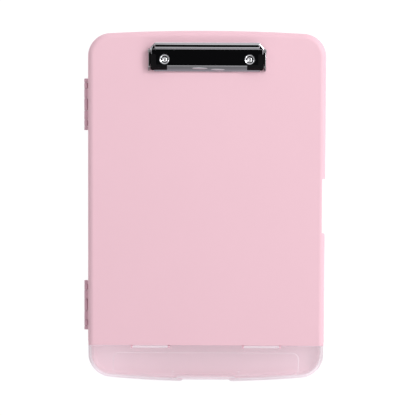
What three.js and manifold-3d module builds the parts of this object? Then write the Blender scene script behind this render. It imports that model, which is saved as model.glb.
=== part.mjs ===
// Side-opening storage clipboard: a two-leaf polypropylene case with pin hinges
// on its left edge, a low-profile sprung steel clip on the front cover, and a
// clear flip-up lid over a pen compartment at the foot.
//
// Millimetres. +X to the reader's right, +Y towards the clip, +Z out of the
// writing face. The case lies on its flat back, which is the plane z = 0.

import * as THREE from "three";
import { mergeVertices } from "three/addons/utils/BufferGeometryUtils.js";
import Module from "manifold-3d";

const wasm = await Module();
wasm.setup();

// ---------------------------------------------------------------- dimensions

// Case outline
const HALF_W = 118;          // half the width of the leaves
const HALF_L = 175;          // centre to the crown of each end
const TOP_ARC_R = 1750;      // slight bow of the top end
const FOOT_ARC_R = 1150;     // slight bow of the foot
const TOP_CORNER_R = 23;
const FOOT_CORNER_R = 24;

// Heights
const BASE_TOP = 14.85;      // rim of the back shell
const COVER_BOTTOM = 15.15;  // rim of the cover
const COVER_TOP = 23;        // writing face
const LID_TOP = 22;          // flat of the clear lid
const PANEL_TOP = 22.9;      // raised field on the clear lid

// Walls and edge rounding
const BASE_WALL = 2.5;
const BASE_FLOOR = 2.2;
const COVER_WALL = 1.9;
const COVER_SKIN = 1.8;
const LID_WALL = 1.8;
const EDGE_IN = 6.5;         // front edge rounding, across
const EDGE_DOWN = 6.0;       // front edge rounding, down
const BACK_IN = 4.0;         // back edge rounding
const BACK_UP = 4.0;

// Division between the writing cover and the pen compartment
const COVER_END_Y = -137.5;
const COVER_END_R = 4.5;
const LID_START_Y = -137.85;
const SKIRT_START_Y = -138.5;
const DIVIDER_Y0 = -139.5;
const DIVIDER_Y1 = -137.0;

// Finger notch in the right edge, and the smaller one in the foot
const NOTCH_Y0 = -25.6;
const NOTCH_Y1 = 28.9;
const NOTCH_DEPTH = 3.5;
const FOOT_NOTCH_HALF = 25;
const FOOT_NOTCH_DEPTH = 2.7;

// Side hinges
const HINGE_X = -120.2;
const HINGE_Z = 15;
const KNUCKLE_R = 1.8;
const KNUCKLE_CLEAR_R = 2.1;
const HINGE_PIN_R = 0.75;
const HINGE_BORE_R = 0.9;
const HINGES = [[76.4, 127.7], [-123.1, -73.3]];
const KNUCKLE_PARTS = [4, 6, 9, 12, 9, 6, 4];
const KNUCKLE_GAP = 0.3;

// Clear lid hinge: two moulded barrels whose trunnions snap into lugs on the case
const LID_AXIS_Y = -139.2;
const LID_AXIS_Z = 20.7;
const BARREL_R = 1.35;
const BARREL_X0 = 38.0;
const BARREL_X1 = 73.0;
const LUG_R = 1.25;
const LUG_WIDTH = 1.4;
const LUG_GAP = 0.3;
const TRUNNION_R = 0.65;
const TRUNNION_OUT = 1.9;    // beyond each end of its barrel
const LUG_BORE_R = 0.8;

// Clip
const RIVET_X = 41.7;
const RIVET_Y = 145.5;
const ACCESS_R = 3.6;         // hole at the bottom of the dish
const DISH_R = 5.0;
const BOSS_TOP = 27.1;       // raised seats of the rivets on the base plate
const PIVOT_Y = 153.6;
const PIVOT_Z = 26.4;
const ROD_R = 1.2;
const ROD_BORE_R = 1.38;
const SHEET = 0.9;           // jaw plate thickness
const JAW_FLAT_Z = 29.15;    // middle of the jaw plate's flat
const JAW_FLAT_Y = 139.8;    // where the flat starts to bend into the lip
const LIP_SLOPE = 43;        // degrees down from the flat
const LIP_BEND_R = 1.0;
const LIP_FOOT_Z = 24.6;
const JAW_HALF = 52;
const JAW_WIDE = 55.2;
const ROLL_END = 51.2;       // the roll is closed and cut square here
const BEAD_R = 0.85;         // stiffening bead along each slanted rear corner
const BEAD = [[50.6, 161.2, 30.1], [54.95, 156.0, 29.95], [54.9, 155.2, 29.6], [54.5, 154.2, 29.0]];
const ROLL_Y = 158.4;
const ROLL_Z = 29.9;
const ROLL_R = 3.15;         // to the middle of the sheet
const PLATE_Z0 = 23.15;      // base plate
const PLATE_Z1 = 23.95;
const EAR_IN = 56.9;
const EAR_OUT = 57.8;
const EAR_TIP = 55.75;       // the ears curl in at their tops
const EAR_FRONT = 134.6;
const ROD_END = 58.4;
const GRIP_IN = 50.3;
const GRIP_OUT = 55.4;
const GRIP_TOP = 30.4;

// ------------------------------------------------------------------- helpers

const V2 = (x, y) => new THREE.Vector2(x, y);

function solid(geometry) {
  const g = geometry.clone();
  g.deleteAttribute("normal");
  g.deleteAttribute("uv");
  const m = mergeVertices(g, 1e-4);
  return new wasm.Manifold(new wasm.Mesh({
    numProp: 3,
    vertProperties: new Float32Array(m.attributes.position.array),
    triVerts: new Uint32Array(m.index.array),
  }));
}

function geometryOf(manifold) {
  const m = manifold.getMesh();
  const g = new THREE.BufferGeometry();
  const p = new Float32Array(m.numVert * 3);
  for (let i = 0; i < m.numVert; i++) {
    for (let k = 0; k < 3; k++) p[3 * i + k] = m.vertProperties[m.numProp * i + k];
  }
  g.setAttribute("position", new THREE.BufferAttribute(p, 3));
  g.setIndex(new THREE.BufferAttribute(new Uint32Array(m.triVerts), 1));
  g.computeVertexNormals();
  return g;
}

function box(x0, x1, y0, y1, z0, z1) {
  const g = new THREE.BoxGeometry(x1 - x0, y1 - y0, z1 - z0);
  g.translate((x0 + x1) / 2, (y0 + y1) / 2, (z0 + z1) / 2);
  return solid(g);
}

// A plan shape extruded along Z
function plan(points, z0, z1) {
  const g = new THREE.ExtrudeGeometry(new THREE.Shape(points), { depth: z1 - z0, bevelEnabled: false });
  g.translate(0, 0, z0);
  return solid(g);
}

// A section given as (y, z) and extruded along X
function alongX(points, x0, x1) {
  const g = new THREE.ExtrudeGeometry(new THREE.Shape(points), { depth: x1 - x0, bevelEnabled: false });
  g.applyMatrix4(new THREE.Matrix4().set(0, 0, 1, x0, 1, 0, 0, 0, 0, 1, 0, 0, 0, 0, 0, 1));
  return solid(g);
}

// A section given as (x, z) and extruded along Y
function alongY(points, y0, y1) {
  const g = new THREE.ExtrudeGeometry(new THREE.Shape(points), { depth: y1 - y0, bevelEnabled: false });
  g.applyMatrix4(new THREE.Matrix4().set(1, 0, 0, 0, 0, 0, -1, y1, 0, 1, 0, 0, 0, 0, 0, 1));
  return solid(g);
}

function circle(cx, cy, r, n) {
  const p = [];
  for (let i = 0; i < n; i++) {
    const a = (2 * Math.PI * (i + 0.5)) / n;
    p.push(V2(cx + r * Math.cos(a), cy + r * Math.sin(a)));
  }
  return p;
}

function rodX(x0, x1, y, z, r, n) { return alongX(circle(y, z, r, n), x0, x1); }
function rodY(y0, y1, x, z, r, n) { return alongY(circle(x, z, r, n), y0, y1); }
function rodZ(z0, z1, x, y, r, n) { return plan(circle(x, y, r, n), z0, z1); }

// A closed skin through rings of points, with a flat fan at each end
function skin(rings) {
  const n = rings[0].length;
  const pos = rings.flat(2);
  const tri = [];
  for (let i = 0; i + 1 < rings.length; i++) {
    for (let j = 0; j < n; j++) {
      const a = i * n + j;
      const b = i * n + ((j + 1) % n);
      tri.push(a, b, b + n, a, b + n, a + n);
    }
  }
  const last = (rings.length - 1) * n;
  for (let j = 1; j + 1 < n; j++) {
    tri.push(0, j + 1, j);
    tri.push(last, last + j, last + j + 1);
  }
  const g = new THREE.BufferGeometry();
  g.setAttribute("position", new THREE.BufferAttribute(new Float32Array(pos), 3));
  g.setIndex(tri);
  return solid(g);
}

// A closed profile of (radius, height) turned about an upright axis
function turned(profile, x, y, n) {
  const p = profile.map(([a, b]) => V2(a, b));
  if (profile[0][0] > 0) p.push(p[0].clone());
  const g = new THREE.LatheGeometry(p, n);
  g.rotateX(Math.PI / 2);
  g.translate(x, y, 0);
  return solid(g);
}

// A round bead along a list of points, lying nearly level
function bead(points, r, n = 10) {
  const p = points.map((v) => new THREE.Vector3(...v));
  const up = new THREE.Vector3(0, 0, 1);
  return skin(p.map((c, i) => {
    const d = p[Math.min(i + 1, p.length - 1)].clone().sub(p[Math.max(i - 1, 0)]).setZ(0).normalize();
    const out = up.clone().cross(d);
    return Array.from({ length: n }, (_, j) => {
      const a = (2 * Math.PI * j) / n;
      return c.clone().addScaledVector(out, r * Math.cos(a)).addScaledVector(up, r * Math.sin(a)).toArray();
    });
  }));
}

// The case outline, moved inwards by d, anticlockwise from the right foot corner
function outline(d, nCorner = 6, nEnd = 8) {
  const p = [];
  const end = (sign, bigR, cornerR) => {
    const cx = HALF_W - cornerR;
    const bigY = sign * (HALF_L - bigR);
    const cy = bigY + sign * Math.sqrt((bigR - cornerR) ** 2 - cx * cx);
    const tilt = Math.atan2(cx, Math.abs(cy - bigY));    // of the arc's end, from the Y axis
    return { cx, cy, bigY, tilt, r: cornerR - d, bigR: bigR - d };
  };
  const corner = (cx, cy, r, a0, a1) => {
    for (let i = 0; i <= nCorner; i++) {
      const a = a0 + ((a1 - a0) * i) / nCorner;
      p.push(V2(cx + r * Math.cos(a), cy + r * Math.sin(a)));
    }
  };
  const arc = (cy, r, a0, a1) => {
    for (let i = 1; i < nEnd; i++) {
      const a = a0 + ((a1 - a0) * i) / nEnd;
      p.push(V2(r * Math.cos(a), cy + r * Math.sin(a)));
    }
  };
  const q = Math.PI / 2;
  const t = end(1, TOP_ARC_R, TOP_CORNER_R);
  const f = end(-1, FOOT_ARC_R, FOOT_CORNER_R);
  corner(f.cx, f.cy, f.r, -q + f.tilt, 0);
  corner(t.cx, t.cy, t.r, 0, q - t.tilt);
  arc(t.bigY, t.bigR, q - t.tilt, q + t.tilt);
  corner(-t.cx, t.cy, t.r, q + t.tilt, 2 * q);
  corner(-f.cx, f.cy, f.r, 2 * q, 3 * q - f.tilt);
  arc(f.bigY, f.bigR, 3 * q - f.tilt, 3 * q + f.tilt);
  return p;
}

// The outline moved in by d, with a rounded edge of (across, depth) on both faces
function pebble(d, z0, z1, across, depth, segments) {
  const g = new THREE.ExtrudeGeometry(new THREE.Shape(outline(d + across)), {
    depth: z1 - z0 - 2 * depth,
    bevelEnabled: true,
    bevelThickness: depth,
    bevelSize: across,
    bevelSegments: segments,
  });
  g.translate(0, 0, z0 + depth);
  return solid(g);
}

function roundedBox(x0, x1, y0, y1, r, n = 4) {
  const p = [];
  const c = [[x1 - r, y0 + r, -0.5], [x1 - r, y1 - r, 0], [x0 + r, y1 - r, 0.5], [x0 + r, y0 + r, 1]];
  for (const [cx, cy, a] of c) {
    for (let i = 0; i <= n; i++) {
      const t = Math.PI * (a + (0.5 * i) / n);
      p.push(V2(cx + r * Math.cos(t), cy + r * Math.sin(t)));
    }
  }
  return p;
}

// Closed section of a sheet that follows a centre line
function sheetSection(line, thickness) {
  const left = [];
  const right = [];
  for (let i = 0; i < line.length; i++) {
    const a = line[Math.max(0, i - 1)];
    const b = line[Math.min(line.length - 1, i + 1)];
    const t = b.clone().sub(a).normalize();
    const n = V2(-t.y, t.x).multiplyScalar(thickness / 2);
    left.push(line[i].clone().add(n));
    right.push(line[i].clone().sub(n));
  }
  return left.concat(right.reverse());
}

function arcLine(cx, cy, r, a0, a1, n, skip = 0) {
  const p = [];
  for (let i = skip; i <= n; i++) {
    const a = ((a0 + ((a1 - a0) * i) / n) * Math.PI) / 180;
    p.push(V2(cx + r * Math.cos(a), cy + r * Math.sin(a)));
  }
  return p;
}

// ------------------------------------------------------------- shared cutters

// Finger notch: a square upper end and a slightly eased lower end
function notchCutter(z0, z1) {
  const x = HALF_W - NOTCH_DEPTH;
  return plan([
    V2(HALF_W + 4, NOTCH_Y0 - 1.6), V2(HALF_W + 4, NOTCH_Y1),
    V2(x + 0.8, NOTCH_Y1), V2(x, NOTCH_Y1 - 0.8),
    V2(x, NOTCH_Y0 + 2.2), V2(x + 0.9, NOTCH_Y0 + 0.9), V2(HALF_W, NOTCH_Y0 - 0.6),
  ], z0, z1);
}

function footNotchCutter(z0, z1) {
  const y = -HALF_L + FOOT_NOTCH_DEPTH;
  return plan([
    V2(-FOOT_NOTCH_HALF - 3, -HALF_L - 2), V2(FOOT_NOTCH_HALF + 3, -HALF_L - 2),
    V2(FOOT_NOTCH_HALF - 2, y), V2(-FOOT_NOTCH_HALF + 2, y),
  ], z0, z1);
}

// Stretches of each side hinge, from its top end down: even ones belong to the cover
function knuckleSpans([y0, y1]) {
  const total = KNUCKLE_PARTS.reduce((a, b) => a + b, 0);
  const spans = [];
  let y = y1;
  for (const part of KNUCKLE_PARTS) {
    const next = y - ((y1 - y0) * part) / total;
    spans.push([next, y]);
    y = next;
  }
  return spans;
}

function addKnuckles(leaf, parity, web) {
  for (const hinge of HINGES) {
    knuckleSpans(hinge).forEach(([a, b], i) => {
      if (i % 2 === parity) return;
      leaf = leaf.subtract(rodY(a - KNUCKLE_GAP / 2, b + KNUCKLE_GAP / 2, HINGE_X, HINGE_Z, KNUCKLE_CLEAR_R, 20));
    });
    knuckleSpans(hinge).forEach(([a, b], i) => {
      if (i % 2 !== parity) return;
      const lo = a + KNUCKLE_GAP / 2;
      const hi = b - KNUCKLE_GAP / 2;
      leaf = leaf.add(rodY(lo, hi, HINGE_X, HINGE_Z, KNUCKLE_R, 20)).add(alongY(web, lo, hi));
    });
    leaf = leaf.subtract(rodY(hinge[0] - 1, hinge[1] + 1, HINGE_X, HINGE_Z, HINGE_BORE_R, 12));
  }
  return leaf;
}

// ----------------------------------------------------------------- back shell

function backShell() {
  let s = pebble(0, 0, 34, BACK_IN, BACK_UP, 4);
  s = s.subtract(box(-130, 130, -190, 190, BASE_TOP, 40));

  // paper compartment
  let hollow = pebble(BASE_WALL, BASE_FLOOR, 40, 3, 3, 3);
  let paper = hollow.subtract(box(-130, 130, -190, DIVIDER_Y1, -1, 45));
  paper = paper.subtract(box(HALF_W - NOTCH_DEPTH - 2.4, 130, NOTCH_Y0 - 4, NOTCH_Y1 + 3, -1, 45));
  for (const [a, b] of HINGES) paper = paper.subtract(box(-130, -112.8, a - 2, b + 2, 7, 45));
  s = s.subtract(paper);

  // pen compartment
  let pens = hollow.subtract(box(-130, 130, DIVIDER_Y0, 190, -1, 45));
  pens = pens.subtract(box(-FOOT_NOTCH_HALF - 4, FOOT_NOTCH_HALF + 4, -180, -HALF_L + FOOT_NOTCH_DEPTH + 2.2, -1, 45));
  s = s.subtract(pens);

  // finger notches
  s = s.subtract(notchCutter(-5, 40)).subtract(footNotchCutter(-5, 40));

  // lugs for the clear lid, on the divider
  for (const side of [-1, 1]) {
    for (const a of [BARREL_X0 - LUG_GAP - LUG_WIDTH, BARREL_X1 + LUG_GAP]) {
      const x0 = side < 0 ? -a - LUG_WIDTH : a;
      const lug = arcLine(LID_AXIS_Y, LID_AXIS_Z, LUG_R, 0, 180, 8);
      let piece = alongX([V2(LID_AXIS_Y - LUG_R, 11), V2(-138.4, 9), V2(LID_AXIS_Y + LUG_R, 11), ...lug], x0, x0 + LUG_WIDTH);
      s = s.add(piece);
      s = s.subtract(rodX(x0 - 0.1, x0 + LUG_WIDTH + 0.1, LID_AXIS_Y, LID_AXIS_Z, LUG_BORE_R, 12));
    }
  }

  return addKnuckles(s, 1, [V2(-121.1, 13.8), V2(-117.5, 10.2), V2(-115, 10.2), V2(-115, BASE_TOP), V2(-120.2, BASE_TOP)]);
}

// ---------------------------------------------------------------- front cover

function frontCover() {
  const end = plan(roundedBox(-140, 140, COVER_END_Y, 400, 0.01, 1), -1, 60);
  // plan of the leaf: the case outline, ended by a straight foot with small corners
  const foot = plan(roundedBox(-HALF_W, HALF_W, COVER_END_Y, 190, COVER_END_R), -1, 60);
  let s = pebble(0, -12, COVER_TOP, EDGE_IN, EDGE_DOWN, 4).intersect(foot).intersect(end);
  s = s.subtract(box(-130, 130, -190, 190, -20, COVER_BOTTOM));

  // hollow behind the writing face
  let hollow = pebble(COVER_WALL, -12, COVER_TOP - COVER_SKIN, EDGE_IN - 1.4, EDGE_DOWN - 1.4, 4);
  hollow = hollow.intersect(plan(roundedBox(-HALF_W + COVER_WALL, HALF_W - COVER_WALL, COVER_END_Y + COVER_WALL, 190, 3), -20, 60));
  hollow = hollow.subtract(box(HALF_W - NOTCH_DEPTH - 2.2, 130, NOTCH_Y0 - 3.6, NOTCH_Y1 + 2.4, -20, 60));
  for (const [a, b] of HINGES) hollow = hollow.subtract(box(-130, -112.8, a - 2, b + 2, -20, 60));
  s = s.subtract(hollow);

  s = s.subtract(notchCutter(-5, 40));
  for (const x of [-RIVET_X, RIVET_X]) s = s.subtract(rodZ(10, 30, x, RIVET_Y, 2.1, 16));
  return addKnuckles(s, 0, [V2(-120.6, 16.3), V2(-120.2, COVER_BOTTOM), V2(-115, COVER_BOTTOM), V2(-115, 18.4), V2(-117.6, 16.9)]);
}

// ------------------------------------------------------------------ clear lid

function penLid() {
  const lidPlan = plan([V2(-130, -190), V2(130, -190), V2(130, LID_START_Y), V2(-130, LID_START_Y)], -1, 60);
  let s = pebble(0, -12, LID_TOP, EDGE_IN, EDGE_DOWN, 4).intersect(lidPlan);
  s = s.subtract(box(-130, 130, -190, 190, -20, COVER_BOTTOM));

  // raised field with rounded upper corners
  s = s.add(plan(roundedBox(-92.5, 92.5, -167.6, -144.8, 6.5, 5), LID_TOP - 1, PANEL_TOP));

  // hollow beneath, open towards the hinge
  let hollow = pebble(LID_WALL, -12, LID_TOP - LID_WALL, EDGE_IN - 1.5, EDGE_DOWN - 1.5, 4);
  hollow = hollow.intersect(plan([V2(-130, -190), V2(130, -190), V2(130, -130), V2(-130, -130)], -20, 60));
  hollow = hollow.subtract(box(-FOOT_NOTCH_HALF - 4, FOOT_NOTCH_HALF + 4, -180, -HALF_L + FOOT_NOTCH_DEPTH + 1.8, -20, 60));
  s = s.subtract(hollow);

  // back edge eased so that it swings clear of the cover, and skirts ended a little short of it
  s = s.subtract(alongX([V2(LID_START_Y - 0.65, LID_TOP + 0.01), V2(LID_START_Y - 0.2, LID_TOP - 0.3), V2(LID_START_Y + 0.01, LID_TOP - 0.75), V2(LID_START_Y + 1, LID_TOP - 0.75), V2(LID_START_Y + 1, LID_TOP + 1), V2(LID_START_Y - 0.65, LID_TOP + 1)], -130, 130));
  s = s.subtract(box(-130, 130, SKIRT_START_Y, -130, 0, LID_TOP - LID_WALL));

  // slots round the lugs, and the back of the sheet cleared to the middle of each barrel
  for (const side of [-1, 1]) {
    for (const a of [BARREL_X0 - LUG_WIDTH - 0.7, BARREL_X1]) {
      const x0 = side < 0 ? -a - LUG_WIDTH - 0.7 : a;
      s = s.subtract(box(x0, x0 + LUG_WIDTH + 0.7, -141.5, -130, 0, 40));
    }
    const c0 = side < 0 ? -BARREL_X1 : BARREL_X0;
    s = s.subtract(box(c0 - 0.01, c0 + BARREL_X1 - BARREL_X0 + 0.01, LID_AXIS_Y, -130, 0, 40));
  }
  s = s.subtract(footNotchCutter(0, 40));

  // barrels with their trunnions, and the two moulded catch ribs
  for (const side of [-1, 1]) {
    const x0 = side < 0 ? -BARREL_X1 : BARREL_X0;
    const x1 = x0 + BARREL_X1 - BARREL_X0;
    s = s.add(rodX(x0, x1, LID_AXIS_Y, LID_AXIS_Z, BARREL_R, 16));
    s = s.add(rodX(x0 - TRUNNION_OUT, x1 + TRUNNION_OUT, LID_AXIS_Y, LID_AXIS_Z, TRUNNION_R, 12));
    const r0 = side * 33 - 0.8;
    s = s.add(box(r0, r0 + 1.6, -172.2, -164.5, 16.2, LID_TOP - 1));
  }
  return s;
}

// ----------------------------------------------------------------------- clip

// Middle of the jaw plate's sheet, from the foot of the lip to the end of the roll
function jawLine() {
  const bend = arcLine(JAW_FLAT_Y, JAW_FLAT_Z - LIP_BEND_R, LIP_BEND_R, 90 + LIP_SLOPE, 90, 4);
  const foot = bend[0];
  const drop = foot.y - LIP_FOOT_Z;
  const first = V2(foot.x - drop / Math.tan((LIP_SLOPE * Math.PI) / 180), LIP_FOOT_Z);
  const fillet = 0.9;
  const wall = ROLL_Y - ROLL_R * Math.cos((40 * Math.PI) / 180);
  const rise = arcLine(wall - fillet, JAW_FLAT_Z + fillet, fillet, -90, 0, 3);
  const roll = arcLine(ROLL_Y, ROLL_Z, ROLL_R, 136, -150, 16);
  return [first, ...bend, ...rise, V2(wall + 0.02, ROLL_Z + 1.5), ...roll];
}

function jawPlate() {
  const line = jawLine();
  let s = alongX(sheetSection(line, SHEET).reverse(), -JAW_WIDE, JAW_WIDE);
  const c = [
    [JAW_HALF, 128], [JAW_HALF, 150.6], [JAW_WIDE, 150.6], [JAW_WIDE, 155.6], [ROLL_END - 0.6, 155.6], [ROLL_END - 0.6, 170],
  ];
  const right = c.map(([x, y]) => V2(x, y));
  const left = c.map(([x, y]) => V2(-x, y)).reverse();
  s = s.intersect(plan([...right, ...left], 20, 40));
  for (const side of [-1, 1]) {
    // access hole in a shallow dish
    const top = JAW_FLAT_Z + SHEET / 2;
    s = s.subtract(rodZ(20, 40, side * RIVET_X, RIVET_Y, DISH_R, 28)).add(turned([
      [DISH_R + 0.2, top - 0.1], [DISH_R - 0.2, top - 0.1], [4.3, top - 0.22], [ACCESS_R + 0.1, top - 0.5], [ACCESS_R, top - 0.65], [ACCESS_R, top - 1.2],
      [4.3, top - 1.0], [DISH_R - 0.2, top - SHEET + 0.15], [DISH_R + 0.2, top - SHEET + 0.15],
    ], side * RIVET_X, RIVET_Y, 28));
    // flange that hangs on the pivot rod
    const x0 = side < 0 ? -JAW_WIDE : JAW_WIDE - SHEET;
    const flange = [V2(PIVOT_Y + 2.3, JAW_FLAT_Z - 0.3), V2(PIVOT_Y - 2.3, JAW_FLAT_Z - 0.3), ...arcLine(PIVOT_Y, PIVOT_Z, 2.3, 180, 360, 10)];
    s = s.add(alongX(flange, x0, x0 + SHEET));
    // bend that rounds the plate's outer corner over into the flange
    const corner = [
      V2(JAW_WIDE + 0.2, JAW_FLAT_Z - 0.35), V2(JAW_WIDE + 0.2, 40), V2(JAW_WIDE - 1.2, 40), V2(JAW_WIDE - 1.2, JAW_FLAT_Z + SHEET / 2),
      V2(JAW_WIDE - 0.55, JAW_FLAT_Z + 0.25), V2(JAW_WIDE - 0.1, JAW_FLAT_Z - 0.35),
    ];
    const bend = alongY(side > 0 ? corner : corner.map((v) => V2(-v.x, v.y)).reverse(), 140, 155.2);
    s = s.subtract(bend);
    s = s.subtract(rodX(x0 - 1, x0 + SHEET + 1, PIVOT_Y, PIVOT_Z, ROD_BORE_R, 14));
  }
  for (const side of [-1, 1]) {
    // slanted rear corner of the flat, with a raised bead along its edge
    const corner = [V2(49.4, 154.6), V2(54.6, 154.6), V2(54.9, 156.0), V2(50.6, 161.15), V2(49.4, 161.15)];
    s = s.add(plan(side > 0 ? corner : corner.map((v) => V2(-v.x, v.y)).reverse(), JAW_FLAT_Z - 0.4, JAW_FLAT_Z + 0.4));
    s = s.add(bead(BEAD.map(([x, y, z]) => [side * x, y, z]), BEAD_R));
    // rounded end that closes the roll
    const ring = (r, x) => arcLine(ROLL_Y, ROLL_Z, r, 0, 345, 23).map((v) => [side * (x < 0 ? 48.6 : ROLL_END - x), v.x, v.y]);
    const rings = [ring(3.3, -1), ring(3.3, 1.4), ring(3.58, 1.39), ring(3.58, 1.0), ring(3.45, 0.5), ring(3.1, 0.15), ring(2.6, 0)];
    s = s.add(skin(side > 0 ? rings : rings.map((r) => r.slice().reverse())));
  }
  // two shallow pressed swellings, staggered across the middle of the lip
  const mid = line[0].clone().add(line[1]).multiplyScalar(0.5);
  const down = line[0].clone().sub(line[1]).normalize();
  const out = V2(down.y, -down.x);
  const at = (u, v) => mid.clone().addScaledVector(down, u).addScaledVector(out, v);
  for (const [x, half, shift] of [[-7.2, 8.4, -0.75], [10.6, 7.4, 0.75]]) {
    const rib = [[-1.4, 0], [-1.4, 0.47], [-0.7, 0.9], [0.7, 0.9], [1.4, 0.47], [1.4, 0]].map(([u, v]) => at(shift + u, v));
    s = s.add(alongX(rib, x - half, x + half));
  }
  return s;
}

function basePlate() {
  const z0 = PLATE_Z0;
  let s = plan([
    V2(-56.9, 141.5), V2(-49.9, 141.5), V2(-48, 139.4), V2(48, 139.4), V2(49.9, 141.5), V2(56.9, 141.5),
    V2(56.9, 156.2), V2(50, 157.5), V2(-50, 157.5), V2(-56.9, 156.2),
  ], z0, PLATE_Z1);
  const profile = [
    V2(EAR_FRONT, z0), V2(156.2, z0), V2(156.2, 27.4), V2(155.0, 28.8),
    V2(152.0, 29.4), V2(138.6, 29.4), V2(EAR_FRONT, 25.6),
  ];
  for (const side of [-1, 1]) {
    // ear, bent up from the plate and curling in at its top
    const section = [
      V2(54, z0), V2(EAR_OUT - 0.5, z0), V2(EAR_OUT, z0 + 0.5), V2(EAR_OUT, 27.4), V2(57.55, 28.3), V2(57.0, 29.0), V2(56.2, 29.4),
      V2(EAR_TIP, 29.4), V2(EAR_TIP, 28.6), V2(56.3, 28.4), V2(56.75, 27.9), V2(EAR_IN, 27.2), V2(EAR_IN, PLATE_Z1 + 0.35), V2(EAR_IN - 0.4, PLATE_Z1), V2(54, PLATE_Z1),
    ];
    const swept = alongY(side > 0 ? section : section.map((v) => V2(-v.x, v.y)).reverse(), EAR_FRONT, 156.2);
    s = s.add(swept.intersect(alongX(profile, side > 0 ? 53 : -60, side > 0 ? 60 : -53)).subtract(
      box(side > 0 ? 50 : -EAR_IN + 0.1, side > 0 ? EAR_IN - 0.1 : -50, 130, 141.5, 20, 27)));
    s = s.subtract(rodX(side > 0 ? 55 : -60, side > 0 ? 60 : -55, PIVOT_Y, PIVOT_Z, ROD_BORE_R, 14));
    // pressed boss that seats the rivet
    s = s.subtract(rodZ(20, 26, side * RIVET_X, RIVET_Y, 4.9, 24)).add(turned([
      [2.1, BOSS_TOP], [2.1, BOSS_TOP - 0.8], [3.5, BOSS_TOP - 0.8], [4.6, z0 + 0.1], [5.2, z0 + 0.1], [5.2, PLATE_Z1 - 0.1], [5.05, PLATE_Z1 + 0.3], [4.3, BOSS_TOP - 0.25], [4.05, BOSS_TOP],
    ], side * RIVET_X, RIVET_Y, 24));
  }
  return s;
}

function pivotRod() {
  const e = ROD_END;
  const p = [V2(0, -e), V2(1.5, -e), V2(1.9, 0.3 - e), V2(1.9, 0.6 - e), V2(ROD_R, 0.6 - e),
    V2(ROD_R, e - 0.6), V2(1.9, e - 0.6), V2(1.9, e - 0.3), V2(1.5, e), V2(0, e)];
  const g = new THREE.LatheGeometry(p, 16);      // about +Y
  g.rotateZ(-Math.PI / 2);                       // onto +X
  g.translate(0, PIVOT_Y, PIVOT_Z);
  return solid(g);
}

// Torsion spring: a leg on the base plate, a coil round the rod, a leg under the jaw
class SpringPath extends THREE.Curve {
  constructor(x, side) { super(); this.x = x; this.side = side; }
  getPoint(t, target = new THREE.Vector3()) {
    const r = 1.72;
    const turns = 5;
    const leg = 0.07;
    const half = 3.6;
    const a0 = -Math.PI / 2;
    if (t < leg) {
      return target.set(this.x - this.side * half, PIVOT_Y + 3.2 * (1 - t / leg), PIVOT_Z - r);
    }
    if (t > 1 - leg) {
      return target.set(this.x + this.side * half, PIVOT_Y + 1.1 * ((t - 1 + leg) / leg), PIVOT_Z + r);
    }
    const u = (t - leg) / (1 - 2 * leg);
    const a = a0 - u * (turns * 2 * Math.PI + Math.PI);
    return target.set(this.x + this.side * half * (2 * u - 1), PIVOT_Y + r * Math.cos(a), PIVOT_Z + r * Math.sin(a));
  }
}

function spring(x, side) {
  const wire = new THREE.Shape(circle(0, 0, 0.36, 6));
  return solid(new THREE.ExtrudeGeometry(wire, { steps: 84, bevelEnabled: false, extrudePath: new SpringPath(x, side) }));
}

// Semi-tubular rivet: dimpled head on the boss, tail rolled over below the writing face
function rivet(x) {
  const top = BOSS_TOP + 0.1;
  return turned([
    [0, 20.6], [1.15, 20.6], [1.25, 19.4], [2.1, 19.2], [2.75, 19.45], [2.75, 19.75], [1.75, 19.95], [1.75, top], [2.9, top],
    [2.9, top + 0.3], [2.5, top + 0.6], [1.8, top + 0.95], [1.5, top + 1.05], [1.2, top + 0.85], [0.8, top + 0.6], [0, top + 0.5],
  ], x, RIVET_Y, 20);
}

function washer(x) {
  return turned([[2.05, 20.15], [3.7, 20.15], [3.9, 20.35], [3.9, 20.95], [2.05, 20.95]], x, RIVET_Y, 20);
}

// Rubber corner: an L in plan, slotted to take the corner of the jaw plate
function grip(side) {
  const mirror = (p) => (side > 0 ? p : p.map((v) => V2(-v.x, v.y)).reverse());
  const ell = plan(mirror([
    V2(39.2, 135.4), V2(54.2, 135.4), V2(GRIP_OUT, 136.6), V2(GRIP_OUT, 149.6), V2(54.6, 150.4),
    V2(GRIP_IN, 150.4), V2(GRIP_IN, 140.2), V2(39.2, 140.2),
  ]), 23.25, GRIP_TOP);
  let s = ell.subtract(box(-70, 70, 141.2, 160, 20, 24.6));
  // the toe leans back a little above the metal lip
  s = s.subtract(alongX([V2(130, 40), V2(130, 26.5), V2(135.4, 26.5), V2(137.1, 29.2), V2(138.2, 40)].reverse(), -70, 70));
  // slot that follows the jaw plate's section
  const slot = alongX(sheetSection(jawLine(), SHEET + 0.36).reverse(), side > 0 ? 30 : -52.2, side > 0 ? 52.2 : -30);
  s = s.subtract(slot.intersect(box(-60, 60, 130, 154, 20, 40)));
  // nothing below the lip, whose free edge comes out under the rubber
  s = s.subtract(alongX([V2(130, 25.7), V2(130, 22), V2(140.3, 22), V2(140.3, 28.8), V2(138.3, 28.4), V2(136.6, 26.9), V2(135.6, 25.7)].reverse(), side > 0 ? 30 : -GRIP_IN, side > 0 ? GRIP_IN : -30));
  return s;
}

// ------------------------------------------------------------------- assembly

const PINK = { color: 0xeec4d0, roughness: 0.42, metalness: 0 };
const CLEAR = { color: 0xe9dde2, roughness: 0.18, metalness: 0, transparent: true, opacity: 0.45 };
const CHROME = { color: 0xc4c4c8, roughness: 0.1, metalness: 1 };
const STEEL = { color: 0x9a9a9e, roughness: 0.35, metalness: 1 };
const RUBBER = { color: 0x1c1a1d, roughness: 0.75, metalness: 0 };

const group = new THREE.Group();

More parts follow.
